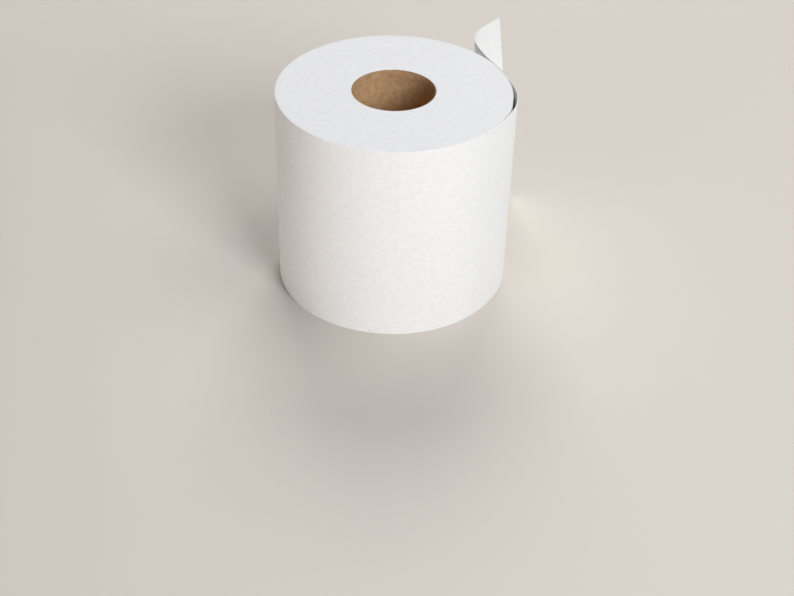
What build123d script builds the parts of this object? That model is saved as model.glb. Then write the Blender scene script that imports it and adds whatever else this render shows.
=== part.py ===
from build123d import *
import math
import os

# Toilet tissue roll standing on its end: a web of tissue wound on a cardboard core. The web's
# last stretch has worked loose: it bows off the roll, comes back to it, then leaves it and curls
# away in a free tail, which leans outwards towards the foot. Millimetres, +Z up, with the origin
# on the roll's axis at its lower end. Angles are degrees about +Z from +X, and the web is wound
# anticlockwise seen from above.

# Driving dimensions
roll_diameter = 110.0
web_width = 100.0
web_thickness = 0.5
core_bore_diameter = 38.5
core_wall = 0.4

# Where the outermost turn works loose, bows out most and comes back to the roll. The bow is
# deeper at the top than at the foot.
loose_from_angle = -26.0
crown_angle = -8.0
back_on_angle = 12.0
crown_gap_at_top = 1.9
crown_gap_at_foot = 1.2
resting_gap = 0.1

# Where it leaves the roll for good, which is sooner at the foot than at the top, and at how many
# levels its section is drawn: straight lines join one level's section to the next
lift_off_at_top = 29.0
lift_off_at_foot = 20.0
section_levels = 3

# The free tail, from the roll to its torn end, as bends that each have a length and a turn
tail_bends = ((22.5, 14.0), (18.8, 51.0), (15.0, 8.0))

# The edges of the turns, which show on both ends of the roll as one spiral crease
crease_turns = 8
crease_width = 0.5
crease_depth = 0.3

# The seam inside the core, where the strip of its inner ply meets itself from turn to turn
seam_lead = 84.0
seam_width = 0.8
seam_depth = 0.15

# Sizes that follow from those
roll_radius = roll_diameter / 2
core_bore_radius = core_bore_diameter / 2
core_radius = core_bore_radius + core_wall
crease_pitch = (roll_radius - core_radius) / (crease_turns + 0.5)
half_turn = 180.0
quarter_turn = 90.0
upwards = Vector(0, 0, 1)


def heading(angle):
    """Unit vector that points along an angle."""
    return Vector(1, 0).rotate(Axis.Z, angle)


# A spiral turn is two half circles. The second one's centre stands half the spiral's pitch
# towards the angle where the turn starts, so the halves meet smoothly and the radius has grown
# by one pitch after each turn.
spiral_angle = lift_off_at_top
first_centre = Vector(0, 0)
web_centre = heading(spiral_angle) * (web_thickness / 2)
web_radius = roll_radius + web_thickness / 2
under_radius = web_radius - web_thickness
crease_centre = heading(spiral_angle) * (crease_pitch / 2)


def loose_side(above_inner_side, crown_gap, lift_off_angle):
    """Draws one side of the loose sheet in plan and returns the points at its two ends.

    The side is a curve over the bow, an arc where the sheet rests on the roll, and one arc for
    each bend of the tail, all tangent to one another.

    Args:
        above_inner_side: 0 for the side that faces the roll, the web's thickness for the other.
        crown_gap: how far this section of the sheet bows off the roll.
        lift_off_angle: where it leaves the roll.
    """
    start_radius = under_radius + above_inner_side
    resting_radius = start_radius + resting_gap
    start = web_centre + heading(loose_from_angle) * start_radius
    Spline(
        start,
        web_centre + heading(crown_angle) * (start_radius + crown_gap),
        web_centre + heading(back_on_angle) * resting_radius,
        tangents=(
            heading(loose_from_angle + quarter_turn),
            heading(back_on_angle + quarter_turn),
        ),
    )
    resting_angle = lift_off_angle - back_on_angle
    end = CenterArc(web_centre, resting_radius, back_on_angle, resting_angle) @ 1
    direction = lift_off_angle + quarter_turn
    for length, turn in tail_bends:
        radius = length / math.radians(turn) + web_thickness / 2 - above_inner_side
        end = JernArc(end, heading(direction), radius, -turn) @ 1
        direction -= turn
    return start, end


def loose_section(level, crown_gap, lift_off_angle):
    """Returns the loose sheet's section at one level, from its root on the roll to its end."""
    with BuildSketch(Plane.XY.offset(level)) as section:
        with BuildLine():
            inner_start, inner_end = loose_side(0, crown_gap, lift_off_angle)
            outer_start, outer_end = loose_side(web_thickness, crown_gap, lift_off_angle)
            Line(inner_start, outer_start)
            Line(inner_end, outer_end)
        make_face()
    return section.sketch


def cut_crease_halves(level, inward, centre, first_radius, from_angle):
    """Cuts one half of every turn of an end's crease, as V grooves turned about one centre.

    Args:
        level: the height of the end of the roll.
        inward: 1 where the roll lies above that end, -1 where it lies below.
        centre: the centre of these half turns.
        first_radius: the radius of the innermost of them.
        from_angle: where they start, going anticlockwise.
    """
    origin = centre + upwards * level
    outwards = heading(from_angle)
    inner_edge = inward * crease_depth
    with BuildSketch(Plane(origin, x_dir=outwards, z_dir=outwards.cross(upwards))) as grooves:
        for turn in range(crease_turns):
            with Locations((first_radius + turn * crease_pitch, 0)):
                Polygon(
                    (-crease_width, -inner_edge),
                    (crease_width, -inner_edge),
                    (0, inner_edge),
                    align=None,
                )
    revolve(grooves.sketch, Axis(origin, upwards), half_turn, mode=Mode.SUBTRACT)


with BuildPart() as tissue:
    # The wound body, with a step of one web thickness where the loose sheet starts
    with BuildSketch():
        with BuildLine():
            CenterArc(first_centre, roll_radius, spiral_angle, half_turn)
            held_angle = loose_from_angle - spiral_angle + half_turn
            held = CenterArc(web_centre, web_radius, spiral_angle + half_turn, held_angle)
            under_angle = spiral_angle - loose_from_angle
            under = CenterArc(web_centre, under_radius, loose_from_angle, under_angle)
            Line(held @ 1, under @ 0)
        make_face()
        Circle(core_radius, mode=Mode.SUBTRACT)
    extrude(amount=web_width)

    # The loose sheet and its tail
    sections = []
    for number in range(section_levels):
        share = number / (section_levels - 1)
        crown_gap = crown_gap_at_foot + (crown_gap_at_top - crown_gap_at_foot) * share
        lift_off_angle = lift_off_at_foot + (lift_off_at_top - lift_off_at_foot) * share
        sections.append(loose_section(web_width * share, crown_gap, lift_off_angle))
    loft(sections, ruled=True)

    # The spiral crease on both ends
    first_radius = core_radius + crease_pitch / 4
    for level, inward in ((0, 1), (web_width, -1)):
        cut_crease_halves(level, inward, first_centre, first_radius, spiral_angle)
        cut_crease_halves(
            level,
            inward,
            crease_centre,
            first_radius + crease_pitch / 2,
            spiral_angle + half_turn,
        )

with BuildPart() as core:
    # The cardboard tube, cut flush with both ends of the roll
    with BuildSketch():
        Circle(core_radius)
        Circle(core_bore_radius, mode=Mode.SUBTRACT)
    extrude(amount=web_width)

    # Its seam, a shallow helical groove in the bore that runs out at both ends
    with BuildLine() as seam:
        seam_height = web_width + 2 * seam_width
        Helix(seam_lead, seam_height, core_bore_radius, center=(0, 0, -seam_width))
    seam_start = seam.line @ 0
    seam_outwards = Vector(seam_start.X, seam_start.Y)
    seam_plane = Plane(seam_start, x_dir=seam_outwards, z_dir=seam.line % 0)
    with BuildSketch(seam_plane) as seam_section:
        Rectangle(2 * seam_depth, seam_width)
    sweep(seam_section.sketch, seam.line, is_frenet=True, mode=Mode.SUBTRACT)

os.makedirs("parts", exist_ok=True)
tissue.part.label = "tissue"
export_step(tissue.part, "parts/tissue.step")
core.part.label = "core"
export_step(core.part, "parts/core.step")
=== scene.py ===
import logging
import math
from dataclasses import dataclass
from enum import Enum

import bpy
import numpy as np
from mathutils import Matrix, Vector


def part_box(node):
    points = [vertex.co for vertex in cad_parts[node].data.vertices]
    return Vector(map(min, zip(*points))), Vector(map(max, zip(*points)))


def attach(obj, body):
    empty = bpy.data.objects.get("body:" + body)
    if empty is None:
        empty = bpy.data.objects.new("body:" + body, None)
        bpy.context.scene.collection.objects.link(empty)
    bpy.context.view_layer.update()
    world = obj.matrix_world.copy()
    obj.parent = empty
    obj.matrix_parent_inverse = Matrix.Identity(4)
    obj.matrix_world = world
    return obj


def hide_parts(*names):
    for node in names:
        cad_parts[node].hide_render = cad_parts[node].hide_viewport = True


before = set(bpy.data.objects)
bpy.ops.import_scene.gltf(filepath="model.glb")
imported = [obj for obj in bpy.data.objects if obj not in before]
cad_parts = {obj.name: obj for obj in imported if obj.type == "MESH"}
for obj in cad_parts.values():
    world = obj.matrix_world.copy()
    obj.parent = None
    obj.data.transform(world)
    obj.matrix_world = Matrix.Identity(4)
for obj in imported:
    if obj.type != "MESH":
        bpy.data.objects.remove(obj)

# A toilet tissue roll that stands on its end: the wound tissue, its outermost turn with the loose
# stretch and the free tail, and the cardboard core. The roll's sizes are millimetres until a mesh
# is made, while the studio's and the camera's are metres. Angles are degrees about +Z from +X. The
# web is wound anticlockwise seen from above, so an angle past 360 is one turn further out.

LOG = logging.getLogger("tissue_roll")
MM = 0.001
TURN = 360.0
HALF_TURN = 180.0
QUARTER_TURN = 90.0
UV_NAME = "unrolled"

# The bands of a wave texture repeat after this length where its scale is 1
WAVE_PERIOD = math.pi / 10

# The points over a rounded edge, and how many of its radii in from the end the even points start
ROUNDING_POINTS = 5
EDGE_SUPPORT = 3


class Slot(Enum):
    """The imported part's material slots."""

    TISSUE = "tissue_paper"
    BOARD = "core_board"


class NodeKind(Enum):
    """The shader nodes that the materials are made of."""

    SURFACE = "ShaderNodeBsdfPrincipled"
    OUTPUT = "ShaderNodeOutputMaterial"
    PLACE = "ShaderNodeTexCoord"
    UV = "ShaderNodeUVMap"
    MAPPING = "ShaderNodeMapping"
    NOISE = "ShaderNodeTexNoise"
    WAVE = "ShaderNodeTexWave"
    RAMP = "ShaderNodeValToRGB"
    BUMP = "ShaderNodeBump"
    MATHS = "ShaderNodeMath"
    LIGHT_PATH = "ShaderNodeLightPath"
    BACKGROUND = "ShaderNodeBackground"
    MIX_SHADER = "ShaderNodeMixShader"
    WORLD_OUTPUT = "ShaderNodeOutputWorld"


def linear(hex_colour: str) -> tuple[float, float, float, float]:
    """Turn an sRGB hex colour to linear light.

    Each channel c becomes c / 12.92 up to 0.04045, and ((c + 0.055) / 1.055) to the power 2.4
    above it.

    Args:
        hex_colour: the colour as "#RRGGBB".

    Returns:
        Linear red, green and blue, and an alpha of 1.
    """
    channels = [int(hex_colour[place : place + 2], 16) / 255 for place in (1, 3, 5)]
    light = [c / 12.92 if c <= 0.04045 else ((c + 0.055) / 1.055) ** 2.4 for c in channels]
    return light[0], light[1], light[2], 1.0


def add_node(
    tree: bpy.types.NodeTree,
    kind: NodeKind,
    inputs: dict[str | int, object] | None = None,
    **settings: object,
) -> bpy.types.Node:
    """Add a node to a tree, set it up and feed its inputs.

    Args:
        tree: the tree that the node joins.
        kind: which node it is.
        inputs: for each input's name or number, its value or the output that feeds it.
        settings: the node's own properties.

    Returns:
        The new node.
    """
    node = tree.nodes.new(kind.value)
    for name, value in settings.items():
        setattr(node, name, value)
    for name, value in (inputs or {}).items():
        if isinstance(value, bpy.types.NodeSocket):
            tree.links.new(value, node.inputs[name])
        else:
            node.inputs[name].default_value = value
    return node


def new_material(name: str) -> bpy.types.Material:
    """Make an empty node material."""
    material = bpy.data.materials.new(name)
    material.use_nodes = True
    material.node_tree.nodes.clear()
    return material


def set_ramp(ramp: bpy.types.Node, stops: tuple[tuple[float, str], ...]) -> None:
    """Give a colour ramp its stops.

    Args:
        ramp: the colour ramp node.
        stops: each stop's place from 0 to 1 and its sRGB colour, in order.
    """
    elements = ramp.color_ramp.elements
    while len(elements) < len(stops):
        elements.new(1.0)
    for element, (place, colour) in zip(elements, stops):
        element.position = place
        element.color = linear(colour)


def per_mm(*sizes: float) -> tuple[float, float, float]:
    """Turn the sizes of a pattern's features, in millimetres, to a Mapping node's scale."""
    scales = [1 / (size * MM) for size in sizes]
    return (*scales, *scales[-1:] * (3 - len(scales)))


def direction(angle: np.ndarray | float) -> np.ndarray:
    """Unit vectors in plan along angles: (cos angle, sin angle)."""
    radians = np.radians(angle)
    return np.stack((np.cos(radians), np.sin(radians)), axis=-1)


def level_spline(
    knots: tuple[float, ...], values: tuple[float, ...], at: np.ndarray
) -> np.ndarray:
    """Pass a smooth curve through a few knots, level at both ends.

    The curve is one cubic between each two knots. Its second derivatives at the knots solve the
    usual equations: slope and curvature run on across a knot, and the slope is 0 at both ends.

    Args:
        knots: where the knots stand, in rising order.
        values: the curve's value at each knot.
        at: where the curve is wanted, from the first knot to the last.

    Returns:
        The curve's values there.
    """
    x, y = np.array(knots), np.array(values)
    step = np.diff(x)
    slope = np.diff(y) / step
    matrix = np.diag(2 * (np.append(step, 0) + np.insert(step, 0, 0)))
    matrix += np.diag(step, 1) + np.diag(step, -1)
    bend = np.linalg.solve(matrix, 6 * (np.append(slope, 0) - np.insert(slope, 0, 0)))
    k = np.clip(np.searchsorted(x, at) - 1, 0, len(step) - 1)
    past, left, span = at - x[k], x[k + 1] - at, step[k]
    cubic = (bend[k] * left**3 + bend[k + 1] * past**3) / (6 * span)
    start = (y[k] / span - bend[k] * span / 6) * left
    end = (y[k + 1] / span - bend[k + 1] * span / 6) * past
    return cubic + start + end


def rounded_side(length: float, radius: float, spans: int) -> tuple[np.ndarray, np.ndarray]:
    """Place points along a straight side that is rounded over at both ends.

    Over a rounding, with a from 0 to 90 degrees, a point stands radius * (1 - cos a) along the
    side and radius * (1 - sin a) under it. Between the roundings the points are evenly spaced.

    Args:
        length: how long the side is.
        radius: the radius of the rounding.
        spans: how many even steps there are.

    Returns:
        How far along the side each point stands, and how far under it.
    """
    bend = np.radians(np.linspace(0, QUARTER_TURN, ROUNDING_POINTS))
    along = radius * (1 - np.cos(bend))
    under = radius * (1 - np.sin(bend))
    support = EDGE_SUPPORT * radius
    middle = np.linspace(support, length - support, spans + 1)
    places = np.concatenate((along, middle, length - along[::-1]))
    return places, np.concatenate((under, np.zeros(spans + 1), under[::-1]))


def loop_quads(rows: int, columns: int, closing_row: int | None = None) -> np.ndarray:
    """Join rows of points into quads, where each row is a closed loop.

    The point in row r and column c has the number r * columns + c. Each quad joins it to the
    next row, then to the next column, so that a loop that climbs on its outer side faces outwards
    when its rows go anticlockwise.

    Args:
        rows: how many rows there are.
        columns: how many points a row has.
        closing_row: the number of the row that the last one joins on to: 0 for the first row, the
            count of rows for one more row of its own, or None where the last row stays open.

    Returns:
        The quads, as rows of four numbers.
    """
    row = np.arange(rows - 1 if closing_row is None else rows)[:, None]
    column = np.arange(columns)[None, :]
    after = np.where(row + 1 < rows, row + 1, closing_row or 0)
    beside = (column + 1) % columns
    corners = ((row, column), (after, column), (after, beside), (row, beside))
    numbers = [r * columns + c for r, c in corners]
    return np.stack(np.broadcast_arrays(*numbers), axis=-1).reshape(-1, 4)


def make_piece(
    name: str,
    points: np.ndarray,
    quads: np.ndarray,
    uv: np.ndarray,
    uv_quads: np.ndarray,
    cut: np.ndarray | None = None,
) -> bpy.types.Object:
    """Make a smooth mesh object whose place is in its mesh.

    Args:
        name: the piece's name.
        points: its points, in millimetres.
        quads: its faces, as numbers of points.
        uv: the unrolled place of each UV entry, in millimetres.
        uv_quads: its faces, as numbers of UV entries.
        cut: which faces take the piece's second finish, the one of its cut edges.

    Returns:
        The new object, at the origin.
    """
    mesh = bpy.data.meshes.new(name)
    mesh.from_pydata(points.reshape(-1, 3) * MM, [], quads)
    layer = mesh.uv_layers.new(name=UV_NAME)
    layer.data.foreach_set("uv", (uv.reshape(-1, 2)[uv_quads] * MM).ravel())
    mesh.polygons.foreach_set("use_smooth", np.ones(len(quads), bool))
    if cut is not None:
        mesh.polygons.foreach_set("material_index", cut.astype(np.int32))
    mesh.update()
    piece = bpy.data.objects.new(name, mesh)
    bpy.context.scene.collection.objects.link(piece)
    return piece


def near_ends(points: np.ndarray, quads: np.ndarray, margin: float) -> np.ndarray:
    """Tell which faces have their middle within a margin of the lowest or highest point."""
    height = points.reshape(-1, 3)[:, 2]
    middle = height[quads].mean(axis=1)
    return (middle < height.min() + margin) | (middle > height.max() - margin)


def fit_out(
    piece: bpy.types.Object, materials: tuple[bpy.types.Material, ...], node: str
) -> None:
    """Dress a piece, stand it in for its CAD node and report it.

    Args:
        piece: the finished piece.
        materials: what it is made of, with the finish of its cut edges second if it has one.
        node: the CAD node that it replaces.
    """
    for material in materials:
        piece.data.materials.append(material)
    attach(piece, "root")
    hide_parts(node)
    LOG.info("%s: %d faces, for %s", piece.name, len(piece.data.polygons), node)


@dataclass(frozen=True)
class CrepedTissue:
    """Bath tissue: bleached short fibres, dried on a hot drum and scraped off it.

    The scraping leaves crepe, fine ridges across the way the web runs, and the fibres clump into
    a faint cloudiness. To the eye it is a soft, matt, clean white with hardly any grain, and
    light sinks a little way in, so a single loose layer glows faintly where it is lit from behind.
    Crepe is about 0.3 mm apart on the real web; here it is drawn coarser, so that it shows.
    """

    name: str = "creped_tissue"
    thin: str = "#EFEFF1"
    thick: str = "#F6F6F7"
    cloud_mm: float = 2.6
    crepe_mm: float = 0.7
    streak_mm: float = 2.4
    crepe_depth_mm: float = 0.03
    cloud_depth_mm: float = 0.2
    roughness: float = 0.92
    specular: float = 0.25
    fuzz: float = 0.12
    fuzz_roughness: float = 0.6
    light_reach_mm: float = 0.2

    def material(self) -> bpy.types.Material:
        """Build the material on the web's unrolled length and height."""
        made = new_material(self.name)
        tree = made.node_tree
        unrolled = add_node(tree, NodeKind.UV, uv_map=UV_NAME).outputs["UV"]
        cloud_scale = {"Vector": unrolled, "Scale": per_mm(self.cloud_mm)}
        cloud_place = add_node(tree, NodeKind.MAPPING, cloud_scale).outputs["Vector"]
        cloud_inputs = {"Vector": cloud_place, "Scale": 1.0, "Detail": 3.0, "Roughness": 0.6}
        cloud = add_node(tree, NodeKind.NOISE, cloud_inputs).outputs["Fac"]
        colour = add_node(tree, NodeKind.RAMP, {"Fac": cloud})
        set_ramp(colour, ((0.3, self.thin), (0.7, self.thick)))
        crepe_scale = {"Vector": unrolled, "Scale": per_mm(self.crepe_mm, self.streak_mm)}
        crepe_place = add_node(tree, NodeKind.MAPPING, crepe_scale).outputs["Vector"]
        crepe_inputs = {"Vector": crepe_place, "Scale": 1.0, "Detail": 2.0, "Roughness": 0.5}
        crepe = add_node(tree, NodeKind.NOISE, crepe_inputs).outputs["Fac"]
        clouds = {"Height": cloud, "Distance": self.cloud_depth_mm * MM, "Strength": 1.0}
        soft = add_node(tree, NodeKind.BUMP, clouds).outputs["Normal"]
        ridges = {
            "Height": crepe,
            "Distance": self.crepe_depth_mm * MM,
            "Strength": 1.0,
            "Normal": soft,
        }
        relief = add_node(tree, NodeKind.BUMP, ridges).outputs["Normal"]
        surface = {
            "Base Color": colour.outputs["Color"],
            "Roughness": self.roughness,
            "Specular IOR Level": self.specular,
            "Subsurface Weight": 1.0,
            "Subsurface Radius": (1.0, 1.0, 1.0),
            "Subsurface Scale": self.light_reach_mm * MM,
            "Sheen Weight": self.fuzz,
            "Sheen Roughness": self.fuzz_roughness,
            "Normal": relief,
        }
        shader = add_node(tree, NodeKind.SURFACE, surface).outputs["BSDF"]
        add_node(tree, NodeKind.OUTPUT, {"Surface": shader})
        return made


@dataclass(frozen=True)
class CutTissue:
    """The sawn ends of the wound web: hundreds of cut edges packed side by side.

    To the eye an end is an even white. Its colour is painted slightly greyer and cooler than the
    web's face: painted shade for the shade that falls between the turns and on the end face.
    Close up each turn is a fine line of the spiral.
    """

    name: str = "cut_tissue_edges"
    painted_shade_hollow: str = "#E9E9EC"
    painted_shade_proud: str = "#EFEFF1"
    cloud_mm: float = 2.4
    turn_mm: float = 0.5
    turn_depth_mm: float = 0.012
    cloud_depth_mm: float = 0.04
    waver: float = 1.5
    waver_scale: float = 0.5
    roughness: float = 0.96
    specular: float = 0.15

    def material(self) -> bpy.types.Material:
        """Build the material: clouds over the whole end, and lines that follow the spiral."""
        made = new_material(self.name)
        tree = made.node_tree
        place = add_node(tree, NodeKind.PLACE).outputs["Object"]
        cloud_scale = {"Vector": place, "Scale": per_mm(self.cloud_mm)}
        cloud_place = add_node(tree, NodeKind.MAPPING, cloud_scale).outputs["Vector"]
        cloud_inputs = {"Vector": cloud_place, "Scale": 1.0, "Detail": 3.0, "Roughness": 0.6}
        cloud = add_node(tree, NodeKind.NOISE, cloud_inputs).outputs["Fac"]
        colour = add_node(tree, NodeKind.RAMP, {"Fac": cloud})
        # Painted shade: the cloud that lowers the relief also greys the colour, so the hollows are
        # painted darker.
        set_ramp(colour, ((0.3, self.painted_shade_hollow), (0.7, self.painted_shade_proud)))
        unrolled = add_node(tree, NodeKind.UV, uv_map=UV_NAME).outputs["UV"]
        line_inputs = {
            "Vector": unrolled,
            "Scale": WAVE_PERIOD / (self.turn_mm * MM),
            "Distortion": self.waver,
            "Detail": 2.0,
            "Detail Scale": self.waver_scale,
        }
        lines = add_node(tree, NodeKind.WAVE, line_inputs, bands_direction="Y")
        clouds = {"Height": cloud, "Distance": self.cloud_depth_mm * MM, "Strength": 1.0}
        soft = add_node(tree, NodeKind.BUMP, clouds).outputs["Normal"]
        ridges = {
            "Height": lines.outputs["Fac"],
            "Distance": self.turn_depth_mm * MM,
            "Strength": 1.0,
            "Normal": soft,
        }
        relief = add_node(tree, NodeKind.BUMP, ridges).outputs["Normal"]
        surface = {
            "Base Color": colour.outputs["Color"],
            "Roughness": self.roughness,
            "Specular IOR Level": self.specular,
            "Normal": relief,
        }
        shader = add_node(tree, NodeKind.SURFACE, surface).outputs["BSDF"]
        add_node(tree, NodeKind.OUTPUT, {"Surface": shader})
        return made


@dataclass(frozen=True)
class KraftBoard:
    """Core board: strips of recycled kraft paper, glued and wound on the slant.

    To the eye it is a matt warm brown, cloudy where the pulp is uneven, with short darker fibres
    that lie along the strip, so they slant up the inside of the tube.
    """

    name: str = "kraft_core_board"
    dark: str = "#AE8A65"
    middle: str = "#C29E77"
    light: str = "#D3B28C"
    cloud_mm: float = 3.0
    fibre_width_mm: float = 0.35
    fibre_length_mm: float = 2.6
    fibre_depth_mm: float = 0.03
    roughness: float = 0.85
    specular: float = 0.3

    def material(self) -> bpy.types.Material:
        """Build the material on the strip's unrolled length and width."""
        made = new_material(self.name)
        tree = made.node_tree
        unrolled = add_node(tree, NodeKind.UV, uv_map=UV_NAME).outputs["UV"]
        cloud_scale = {"Vector": unrolled, "Scale": per_mm(self.cloud_mm)}
        cloud_place = add_node(tree, NodeKind.MAPPING, cloud_scale).outputs["Vector"]
        cloud_inputs = {"Vector": cloud_place, "Scale": 1.0, "Detail": 4.0, "Roughness": 0.6}
        cloud = add_node(tree, NodeKind.NOISE, cloud_inputs).outputs["Fac"]
        fibre_scale = {
            "Vector": unrolled,
            "Scale": per_mm(self.fibre_length_mm, self.fibre_width_mm),
        }
        fibre_place = add_node(tree, NodeKind.MAPPING, fibre_scale).outputs["Vector"]
        fibre_inputs = {"Vector": fibre_place, "Scale": 1.0, "Detail": 3.0, "Roughness": 0.55}
        fibres = add_node(tree, NodeKind.NOISE, fibre_inputs).outputs["Fac"]
        both = add_node(
            tree, NodeKind.MATHS, {0: cloud, 1: fibres}, operation="ADD"
        ).outputs["Value"]
        half = add_node(tree, NodeKind.MATHS, {0: both, 1: 0.5}, operation="MULTIPLY")
        colour = add_node(tree, NodeKind.RAMP, {"Fac": half.outputs["Value"]})
        set_ramp(colour, ((0.36, self.dark), (0.5, self.middle), (0.64, self.light)))
        ridges = {"Height": fibres, "Distance": self.fibre_depth_mm * MM, "Strength": 1.0}
        relief = add_node(tree, NodeKind.BUMP, ridges).outputs["Normal"]
        surface = {
            "Base Color": colour.outputs["Color"],
            "Roughness": self.roughness,
            "Specular IOR Level": self.specular,
            "Normal": relief,
        }
        shader = add_node(tree, NodeKind.SURFACE, surface).outputs["BSDF"]
        add_node(tree, NodeKind.OUTPUT, {"Surface": shader})
        return made


@dataclass(frozen=True)
class SawnBoard:
    """The sawn ends of the tube, roughed up by the saw.

    Its colour is painted shade: a thin ring, a little greyer and darker than the board's faces,
    standing in for the shadow line round the rim of the bore.
    """

    name: str = "sawn_core_board"
    dark: str = "#866C56"
    light: str = "#A0856B"
    grain_mm: float = 0.6
    roughness: float = 0.95
    specular: float = 0.15

    def material(self) -> bpy.types.Material:
        """Build the material: painted shade, with an uneven grain."""
        made = new_material(self.name)
        tree = made.node_tree
        place = add_node(tree, NodeKind.PLACE).outputs["Object"]
        grain_scale = {"Vector": place, "Scale": per_mm(self.grain_mm)}
        grain_place = add_node(tree, NodeKind.MAPPING, grain_scale).outputs["Vector"]
        grain_inputs = {"Vector": grain_place, "Scale": 1.0, "Detail": 2.0, "Roughness": 0.6}
        grain = add_node(tree, NodeKind.NOISE, grain_inputs).outputs["Fac"]
        # Painted shade: the ring's dark grey-brown stands in for the shadow along the bore's rim.
        colour = add_node(tree, NodeKind.RAMP, {"Fac": grain})
        set_ramp(colour, ((0.35, self.dark), (0.65, self.light)))
        surface = {
            "Base Color": colour.outputs["Color"],
            "Roughness": self.roughness,
            "Specular IOR Level": self.specular,
        }
        shader = add_node(tree, NodeKind.SURFACE, surface).outputs["BSDF"]
        add_node(tree, NodeKind.OUTPUT, {"Surface": shader})
        return made


@dataclass(frozen=True)
class Winding:
    """The spiral that the web follows, as half circles about two centres.

    The second centre stands half the pitch towards the angle where a turn starts, so that the
    halves meet smoothly and the radius has grown by one pitch after each turn.
    """

    foot: float
    top: float
    bore_radius: float
    roll_radius: float = 55.0
    pitch: float = 0.5
    start_angle: float = 29.0

    @property
    def second_centre(self) -> np.ndarray:
        """The centre of every second half turn."""
        return direction(self.start_angle) * self.pitch / 2

    def in_second_half(self, plan: np.ndarray) -> np.ndarray:
        """Tell which places in plan lie on the side that is wound about the second centre."""
        towards = direction(self.start_angle)
        return (plan @ np.array((-towards[1], towards[0]))) < 0

    def outer_side(self, angle: np.ndarray, raised: np.ndarray | float = 0.0) -> np.ndarray:
        """Place points on the web's outer side.

        Half turn n has the radius roll_radius + n * pitch / 2, about the first centre where n is
        even and about the second one where it is odd.

        Args:
            angle: the points' angles, which grow past 360 from turn to turn.
            raised: how far out of the spiral each of them stands.

        Returns:
            Their places in plan.
        """
        half = np.floor((angle - self.start_angle) / HALF_TURN)
        radius = self.roll_radius + half * self.pitch / 2 + raised
        centre = np.where((half % 2)[..., None], self.second_centre, 0.0)
        return centre + direction(angle) * radius[..., None]


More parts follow.
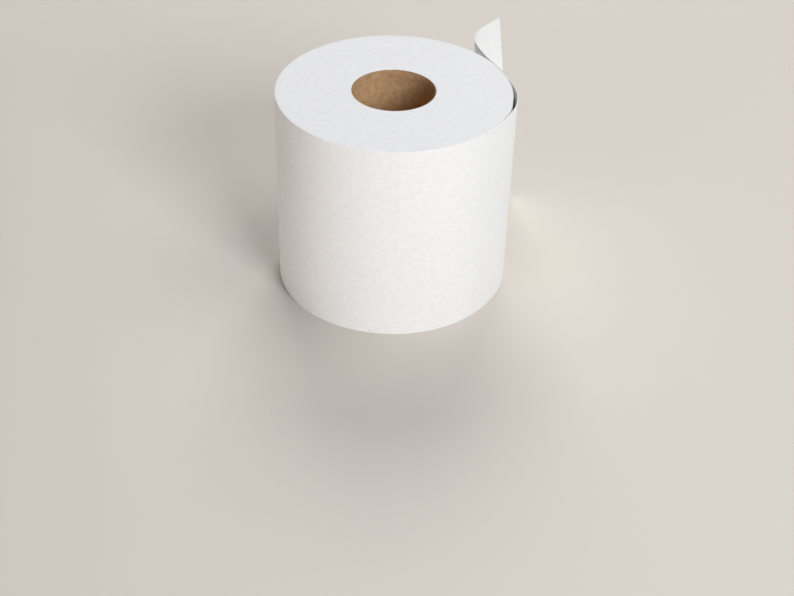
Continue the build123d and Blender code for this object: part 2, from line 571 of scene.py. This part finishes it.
@dataclass(frozen=True)
class OuterSheet:
    """The outermost turn, from where it slips out from under itself to its torn end.

    It lies on the roll for most of a turn, bows off it, rests on it again, then leaves it for
    good and curls away in the free tail, which leans outwards towards the foot. Its hidden first
    stretch grows from a feather edge to the full thickness. Of the bow's height, the loose web
    takes one set of shares at the bow's angles, and the turn under it bulges by the other.
    """

    winding: Winding
    first_angle: float = -80.0
    full_angle: float = -50.0
    feather: float = 0.04
    thickness: float = 0.36
    edge_radius: float = 0.1
    spans: int = 30
    bow_angles: tuple[float, ...] = (
        320.0, 327.0, 332.0, 336.0, 341.0, 346.0, 352.0, 358.0, 363.0, 367.0, 371.0, 375.0,
    )
    bow_shares: tuple[float, ...] = (
        0.0, 0.09, 0.3, 0.48, 0.68, 0.94, 1.0, 0.93, 0.67, 0.39, 0.06, 0.0,
    )
    under_shares: tuple[float, ...] = (
        0.0, 0.06, 0.18, 0.27, 0.31, 0.29, 0.17, 0.13, 0.09, 0.06, 0.01, 0.0,
    )
    bow_at_top: float = 1.9
    bow_at_foot: float = 1.2
    resting_gap: float = 0.02
    lift_off_at_top: float = 389.0
    lift_off_at_foot: float = 380.0
    lift_off_steps: int = 12
    tail_bends: tuple[tuple[float, float], ...] = ((22.5, 14.0), (18.8, 51.0), (15.0, 8.0))
    tail_points: int = 96
    bend_easing: float = 3.0
    easing_points: int = 13
    torn_depth: float = 0.12
    torn_pitch: float = 1.3

    def heights(self) -> tuple[np.ndarray, np.ndarray]:
        """Heights across the web and how far its rounded edges fall away there."""
        width = self.winding.top - self.winding.foot
        places, under = rounded_side(width, self.edge_radius, self.spans)
        return self.winding.foot + places, under

    def lift_off(self, share: np.ndarray) -> np.ndarray:
        """The angle where each level leaves the roll, steadily sooner towards the foot."""
        return self.lift_off_at_foot + share * (self.lift_off_at_top - self.lift_off_at_foot)

    def bow(
        self, shares: tuple[float, ...], angle: np.ndarray, share: np.ndarray
    ) -> np.ndarray:
        """How far a turn bows off the roll.

        The bow's height falls steadily from the top to the foot. A turn has a share of it at each
        of the bow's angles, with a smooth curve through them.

        Args:
            shares: the turn's share at each of the bow's angles.
            angle: where round the roll.
            share: at which height, as a share of the web's width.

        Returns:
            How far out of the spiral the turn stands.
        """
        height = self.bow_at_foot + share * (self.bow_at_top - self.bow_at_foot)
        inside = np.clip(angle, self.bow_angles[0], self.bow_angles[-1])
        return height * level_spline(self.bow_angles, shares, inside)

    def wound_stretch(self, share: np.ndarray) -> tuple[np.ndarray, np.ndarray]:
        """Lay the web's middle line round the roll, up to where the tail lifts off.

        There is a row for each degree up to the end of the bow, and from there even steps to
        lift-off. The radius is the spiral's, plus the bow, plus the resting gap past it. One turn
        further in, the web bulges where the bow will be.

        Args:
            share: each level's height as a share of the web's width.

        Returns:
            The points in plan and how thick the web is at each, with a row for each angle.
        """
        first, last = self.bow_angles[0], self.bow_angles[-1]
        fixed = np.arange(self.first_angle, last + 1)[:, None] + 0 * share
        steps = np.linspace(0, 1, self.lift_off_steps + 1)[1:, None]
        angle = np.concatenate((fixed, last + steps * (self.lift_off(share) - last)))
        raised = self.bow(self.bow_shares, angle, share)
        raised += self.bow(self.under_shares, angle + TURN, share)
        raised += self.resting_gap * np.clip((angle - first) / (last - first), 0, 1)
        thick = self.feather + (self.thickness - self.feather) * self.grown(angle)
        return self.winding.outer_side(angle, raised - thick / 2), thick

    def grown(self, angle: np.ndarray) -> np.ndarray:
        """How far the web has grown from its feather edge to its thickness, from 0 to 1."""
        return np.clip((angle - self.first_angle) / (self.full_angle - self.first_angle), 0, 1)

    def tail(self, start: np.ndarray, share: np.ndarray) -> np.ndarray:
        """Carry the middle line on from lift-off to the torn end.

        The heading at a distance s is the one at lift-off less the turn made by then. That turn is
        read off the bends and averaged over a short way before and after s, so that the curvature
        changes gradually. Points follow by adding up short steps along the heading.

        Args:
            start: where each level lifts off.
            share: each level's height as a share of the web's width.

        Returns:
            The points in plan, with a row for each distance.
        """
        lengths, turns = np.array(self.tail_bends).T
        ends, turned = np.insert(np.cumsum(lengths), 0, 0), np.insert(np.cumsum(turns), 0, 0)
        along = np.linspace(0, 1, self.tail_points)[:, None]
        distance = along * (ends[-1] - self.torn_edge(share))
        window = np.linspace(-self.bend_easing, self.bend_easing, self.easing_points)
        made = np.interp(distance[..., None] + window, ends, turned).mean(axis=-1)
        heading = self.lift_off(share) + QUARTER_TURN - (made - made[0])
        middle = (heading[1:] + heading[:-1]) / 2
        steps = direction(middle) * np.diff(distance, axis=0)[..., None]
        return start + np.cumsum(steps, axis=0)

    def torn_edge(self, share: np.ndarray) -> np.ndarray:
        """How far each level falls short: the torn depth times the mean of two waves, 0 to 1."""
        height = share * (self.winding.top - self.winding.foot)
        ripple = np.sin(math.tau * height / self.torn_pitch)
        slow = np.sin(height / (math.pi * self.torn_pitch))
        return self.torn_depth * (2 + ripple + slow) / 4

    def build(self) -> bpy.types.Object:
        """Give the middle line its thickness and close it at the edges and both ends.

        The normal in plan is square to the middle line: for a step (dx, dy) it is (dy, -dx), made
        one long. The outer side stands half the thickness along it, the inner side as far back,
        and both fall away over the rounded edges.
        """
        z, under = self.heights()
        share = (z - z[0]) / (z[-1] - z[0])
        plan, thick = self.wound_stretch(share)
        tail = self.tail(plan[-1], share)
        plan = np.concatenate((plan, tail))
        thick = np.concatenate((thick, np.full(tail.shape[:2], self.thickness)))
        step = np.gradient(plan, axis=0)
        size = np.linalg.norm(step, axis=-1, keepdims=True)
        normal = np.stack((step[..., 1], -step[..., 0]), axis=-1) / size
        offset = (thick / 2 - under * thick / self.thickness)[..., None] * normal
        along = np.concatenate((np.zeros((1, len(z))), np.cumsum(size[1:, :, 0], axis=0)))
        height = np.broadcast_to(z[:, None], (*along.shape, 1))
        outer = np.concatenate((plan + offset, height), axis=-1)
        inner = np.concatenate((plan - offset, height), axis=-1)
        points = np.concatenate((outer, inner[:, ::-1]), axis=1)
        side_uv = np.stack((along, height[..., 0]), axis=-1)
        uv = np.concatenate((side_uv, side_uv[:, ::-1]), axis=1)
        rows, columns = points.shape[:2]
        low = np.arange(len(z) - 1)
        across = columns - 1 - low
        start_cap = np.stack((low, low + 1, across - 1, across), axis=-1)
        end_cap = start_cap[:, ::-1] + (rows - 1) * columns
        quads = np.concatenate((loop_quads(rows, columns), start_cap, end_cap))
        # The faces at the web's top and foot take the cut ends' finish, with its painted shade.
        cut = near_ends(points, quads, self.edge_radius)
        return make_piece("outer_sheet", points, quads, uv, quads, cut)


@dataclass(frozen=True)
class WoundTissue:
    """All the turns below the outermost one, as one ring with a soft spiral crease on each end."""

    winding: Winding
    sheet: OuterSheet
    clearance: float = 0.01
    rim: float = 0.08
    rings: int = 140
    angle_step: float = 1.5
    crease_turns: int = 8
    crease_half_width: float = 0.45
    crease_depth: float = 0.03

    def crease(self, plan: np.ndarray) -> np.ndarray:
        """How far the ends dip at each place in plan.

        The crease is a two-centre spiral like the web's, with a coarser pitch. A place's distance
        from the nearest turn of it is the radius about the centre of its half, less the radius of
        that half, less whole pitches. The dip is a bell of that distance.

        Args:
            plan: the places.

        Returns:
            The depth at each.
        """
        band = self.winding.roll_radius - self.winding.bore_radius
        pitch = band / (self.crease_turns + 0.5)
        first = self.winding.bore_radius + pitch / 4
        towards = direction(self.winding.start_angle)
        second = self.winding.in_second_half(plan)
        centre = np.where(second[..., None], towards * pitch / 2, 0.0)
        radius = np.linalg.norm(plan - centre, axis=-1)
        past = radius - first - np.where(second, pitch / 2, 0.0)
        turn = np.clip(np.round(past / pitch), 0, self.crease_turns - 1)
        return self.crease_depth * np.exp(-(((past - turn * pitch) / self.crease_half_width) ** 2))

    def build(self) -> bpy.types.Object:
        """Carry a closed section round the roll: outer wall, top, bore and foot.

        A point at the share f of the way from the bore to the outer wall stands at the bore's
        place plus f times the way to the wall. The outer wall lies under the outer sheet, by a
        clearance on each side of it, and bulges with that sheet's turn under the bow.
        """
        sheet, winding = self.sheet, self.winding
        angle = np.arange(sheet.first_angle, sheet.first_angle + TURN, self.angle_step)
        covered = (sheet.thickness + self.clearance) * sheet.grown(angle) + self.clearance
        bore = direction(angle) * (winding.bore_radius + self.clearance)
        share = np.linspace(1, 0, self.rings)
        inset = np.zeros(self.rings)
        inset[0], inset[-1] = self.rim, -self.rim
        wall_z = np.array((winding.foot + self.rim, winding.top - self.rim))
        shares = np.concatenate((np.ones(2), share, np.zeros(2), share[::-1]))
        insets = np.concatenate((np.zeros(2), inset, np.zeros(2), inset[::-1]))
        ends = np.full(self.rings, winding.top), np.full(self.rings, winding.foot)
        level = np.concatenate((wall_z, ends[0], wall_z[::-1], ends[1]))
        up = (level - winding.foot) / (winding.top - winding.foot)
        bulge = sheet.bow(sheet.under_shares, angle[:, None] + TURN, up)
        wall = winding.outer_side(angle[:, None], bulge - covered[:, None])
        plan = bore[:, None] + shares[:, None] * (wall - bore[:, None])
        plan = plan - insets[:, None] * direction(angle)[:, None]
        dip = self.crease(plan)
        flat = np.zeros(2)
        side = np.concatenate((flat, -np.ones(self.rings), flat, np.ones(self.rings)))
        points = np.concatenate((plan, (level + side * dip)[..., None]), axis=-1)
        rows, columns = points.shape[:2]
        quads = loop_quads(rows, columns, closing_row=0)
        middle = points.reshape(-1, 3)[quads].mean(axis=1)
        second = winding.in_second_half(middle[:, :2])
        centre = np.where(second[:, None], winding.second_centre, 0.0)
        corner = points.reshape(-1, 3)[quads][..., :2] - centre[:, None]
        across = np.linalg.norm(corner, axis=-1) - np.where(second, winding.pitch / 2, 0)[:, None]
        around = np.degrees(np.arctan2(corner[..., 1], corner[..., 0]))
        uv = np.stack((around, across), axis=-1)
        uv_quads = np.arange(quads.size).reshape(quads.shape)
        return make_piece("wound_tissue", points, quads, uv, uv_quads)


@dataclass(frozen=True)
class CoreTube:
    """The cardboard tube, wound from slanting strips whose joint shows inside as a fine groove."""

    winding: Winding
    inner_radius: float
    clearance: float = 0.01
    edge_radius: float = 0.1
    seam_lead: float = 84.0
    seam_start: float = -0.8
    seam_half_width: float = 0.3
    seam_depth: float = 0.15
    groove_reach: float = 3.0
    groove_steps: int = 12
    plain_steps: int = 110
    spans: int = 100

    def build(self) -> bpy.types.Object:
        """Carry a closed section round the tube, twisted so that it follows the seam.

        Each row of points keeps its distance from the seam while it climbs: at a height z its
        angle is its own offset plus 360 * (z - start) / lead. The groove's depth is a bell of the
        offset, turned to a distance square to the seam, and fine steps reach three of its half
        widths to each side.
        """
        outer_radius = self.winding.bore_radius - self.clearance
        slant = math.atan2(self.seam_lead, math.tau * self.inner_radius)
        per_degree = math.sin(slant) * math.radians(1) * self.inner_radius
        reach = self.groove_reach * self.seam_half_width / per_degree
        groove = np.linspace(-reach, reach, self.groove_steps, endpoint=False)
        plain = np.linspace(reach, TURN - reach, self.plain_steps, endpoint=False)
        offset = np.concatenate((groove, plain, [TURN - reach]))
        square = np.radians(offset) * self.inner_radius * math.sin(slant)
        dip = self.seam_depth * np.exp(-((square / self.seam_half_width) ** 2))
        height = self.winding.top - self.winding.foot
        places, under = rounded_side(height, self.edge_radius, self.spans)
        z = np.concatenate((places, places[::-1]))
        outer = np.broadcast_to(outer_radius - under, (len(offset), len(places)))
        inner = self.inner_radius + under[::-1] + dip[:, None]
        radius = np.concatenate((outer, inner), axis=1)
        angle = offset[:, None] + TURN * (z - self.seam_start) / self.seam_lead
        level = np.broadcast_to((self.winding.foot + z)[:, None], (*radius.shape, 1))
        points = np.concatenate((direction(angle) * radius[..., None], level), axis=-1)
        arc = np.radians(angle) * self.inner_radius
        strip = arc * math.cos(slant) + z * math.sin(slant)
        across = z * math.cos(slant) - arc * math.sin(slant)
        uv = np.stack((strip, across), axis=-1)
        rows, columns = len(offset) - 1, points.shape[1]
        quads = loop_quads(rows, columns, closing_row=0)
        uv_quads = loop_quads(rows, columns, closing_row=rows)
        # The faces at the sawn ends take the second finish, the sawn ring's painted shade.
        cut = near_ends(points[:rows], quads, self.edge_radius)
        return make_piece("core_tube", points[:rows], quads, uv, uv_quads, cut)


@dataclass(frozen=True)
class SoftBox:
    """A square studio lamp that faces the roll."""

    name: str
    azimuth: float
    elevation: float
    distance: float
    size: float
    watts: float
    colour: str = "#FFFFFF"

    def build(self, aim: np.ndarray) -> None:
        """Stand the lamp at its azimuth, elevation and distance from the point it faces."""
        rise = math.radians(self.elevation)
        plan = direction(self.azimuth) * math.cos(rise)
        back = np.append(plan, math.sin(rise))
        lamp = bpy.data.lights.new(self.name, "AREA")
        lamp.shape = "SQUARE"
        lamp.size = self.size
        lamp.energy = self.watts
        lamp.color = linear(self.colour)[:3]
        rig = bpy.data.objects.new(self.name, lamp)
        side = np.append(direction(self.azimuth + QUARTER_TURN), 0.0)
        axes = Matrix(np.stack((side, np.cross(back, side), back), axis=-1)).to_4x4()
        axes.translation = aim + back * self.distance
        rig.matrix_world = axes
        bpy.context.scene.collection.objects.link(rig)
        LOG.info("lamp %s: %.1f W", self.name, self.watts)


@dataclass(frozen=True)
class Studio:
    """A plain pale floor, soft lamps, an even world light and a white background."""

    floor_colour: str = "#D9D3CB"
    floor_roughness: float = 0.9
    floor_specular: float = 0.2
    floor_size: float = 2.6
    world_light: float = 0.04
    aim: tuple[float, float, float] = (0.0, 0.0, 0.05)
    lamps: tuple[SoftBox, ...] = (
        SoftBox("key", -59.0, 30.0, 1.6, 0.6, 15.6, "#F9FDFF"),
        SoftBox("low_left", -126.0, 2.0, 1.8, 0.35, 9.0, "#FFF2E9"),
        SoftBox("back", 90.0, 45.0, 1.6, 0.8, 13.9),
        SoftBox("overhead", 0.0, 65.0, 1.6, 1.0, 7.5, "#FFFCF9"),
    )

    def build(self) -> None:
        """Make the floor, the world and the lamps."""
        self.floor()
        self.world()
        for lamp in self.lamps:
            lamp.build(np.array(self.aim))

    def floor(self) -> None:
        """Lay a painted floor, one large quad at the height that the roll stands on."""
        corner = np.array(((-1, -1), (1, -1), (1, 1), (-1, 1))) * self.floor_size / 2
        mesh = bpy.data.meshes.new("floor")
        mesh.from_pydata(np.insert(corner, 2, 0.0, axis=1), [], [(0, 1, 2, 3)])
        floor = bpy.data.objects.new("floor", mesh)
        material = new_material("matt_painted_floor")
        tree = material.node_tree
        paint = {
            "Base Color": linear(self.floor_colour),
            "Roughness": self.floor_roughness,
            "Specular IOR Level": self.floor_specular,
        }
        shader = add_node(tree, NodeKind.SURFACE, paint).outputs["BSDF"]
        add_node(tree, NodeKind.OUTPUT, {"Surface": shader})
        mesh.materials.append(material)
        bpy.context.scene.collection.objects.link(floor)

    def world(self) -> None:
        """Light evenly from all round, and show white to the eye and in reflections."""
        world = bpy.data.worlds.new("studio")
        world.use_nodes = True
        tree = world.node_tree
        tree.nodes.clear()
        path = add_node(tree, NodeKind.LIGHT_PATH).outputs
        eye = add_node(
            tree,
            NodeKind.MATHS,
            {0: path["Is Camera Ray"], 1: path["Is Glossy Ray"]},
            operation="MAXIMUM",
        ).outputs["Value"]
        seen = add_node(
            tree, NodeKind.MATHS, {0: eye, 1: path["Is Transmission Ray"]}, operation="MAXIMUM"
        ).outputs["Value"]
        light = add_node(tree, NodeKind.BACKGROUND, {"Strength": self.world_light})
        white = add_node(tree, NodeKind.BACKGROUND, {"Strength": 1.0})
        for background in (light, white):
            background.inputs["Color"].default_value = (1.0, 1.0, 1.0, 1.0)
        shaders = {0: seen, 1: light.outputs["Background"], 2: white.outputs["Background"]}
        both = add_node(tree, NodeKind.MIX_SHADER, shaders).outputs["Shader"]
        add_node(tree, NodeKind.WORLD_OUTPUT, {"Surface": both})
        bpy.context.scene.world = world


@dataclass(frozen=True)
class Eye:
    """The camera, where the photograph's perspective puts it."""

    image_width_px: int = 794
    focal_px: float = 1486.8
    sensor_mm: float = 36.0
    nearest: float = 0.01
    place: tuple[float, float, float] = (0.0, -0.6073, 0.4337)
    pitch: float = 36.75
    yaw: float = 0.367
    roll: float = 1.46

    def build(self) -> None:
        """Make the camera, looking down by the pitch and turned by yaw and roll.

        Its forward axis is (sin yaw cos pitch, cos yaw cos pitch, -sin pitch). Level right is
        (cos yaw, -sin yaw, 0), and the roll turns right and up about the forward axis.
        """
        pitch, yaw, roll = (math.radians(a) for a in (self.pitch, self.yaw, self.roll))
        level = math.cos(pitch)
        forward = np.array((math.sin(yaw) * level, math.cos(yaw) * level, -math.sin(pitch)))
        right = np.array((math.cos(yaw), -math.sin(yaw), 0.0))
        up = np.cross(right, forward)
        turned_right = math.cos(roll) * right + math.sin(roll) * up
        turned_up = math.cos(roll) * up - math.sin(roll) * right
        axes = Matrix(np.stack((turned_right, turned_up, -forward), axis=-1)).to_4x4()
        axes.translation = self.place
        camera = bpy.data.cameras.new("camera")
        camera.sensor_width = self.sensor_mm
        camera.lens = self.sensor_mm * self.focal_px / self.image_width_px
        camera.clip_start = self.nearest
        rig = bpy.data.objects.new("camera", camera)
        rig.matrix_world = axes
        bpy.context.scene.collection.objects.link(rig)
        bpy.context.scene.camera = rig


@dataclass(frozen=True)
class TissueRoll:
    """The whole roll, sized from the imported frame."""

    winding: Winding
    core_inner_radius: float

    @classmethod
    def from_frame(cls, core_wall: float = 0.4) -> "TissueRoll":
        """Read the roll's height and the core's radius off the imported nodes."""
        low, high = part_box("core")
        core_radius = (high.x - low.x) / 2 / MM
        winding = Winding(foot=low.z / MM, top=high.z / MM, bore_radius=core_radius)
        return cls(winding, core_radius - core_wall)

    def build(self) -> None:
        """Build and dress the three pieces."""
        # The cut ends' finish is painted greyer, as painted shade.
        creped, ends = CrepedTissue().material(), CutTissue().material()
        sheet = OuterSheet(self.winding)
        fit_out(sheet.build(), (creped, ends), "tissue")
        wound = WoundTissue(self.winding, sheet)
        fit_out(wound.build(), (ends,), "tissue")
        core = CoreTube(self.winding, self.core_inner_radius)
        # The sawn ring's finish is painted shade.
        board = KraftBoard().material(), SawnBoard().material()
        fit_out(core.build(), board, "core")


def main() -> None:
    """Build the roll and its studio, and report each piece."""
    logging.basicConfig(level=logging.INFO, format="%(name)s: %(message)s")
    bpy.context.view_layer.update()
    bpy.context.scene.view_settings.view_transform = "Standard"
    TissueRoll.from_frame().build()
    Studio().build()
    Eye().build()


if __name__ == "__main__":
    main()
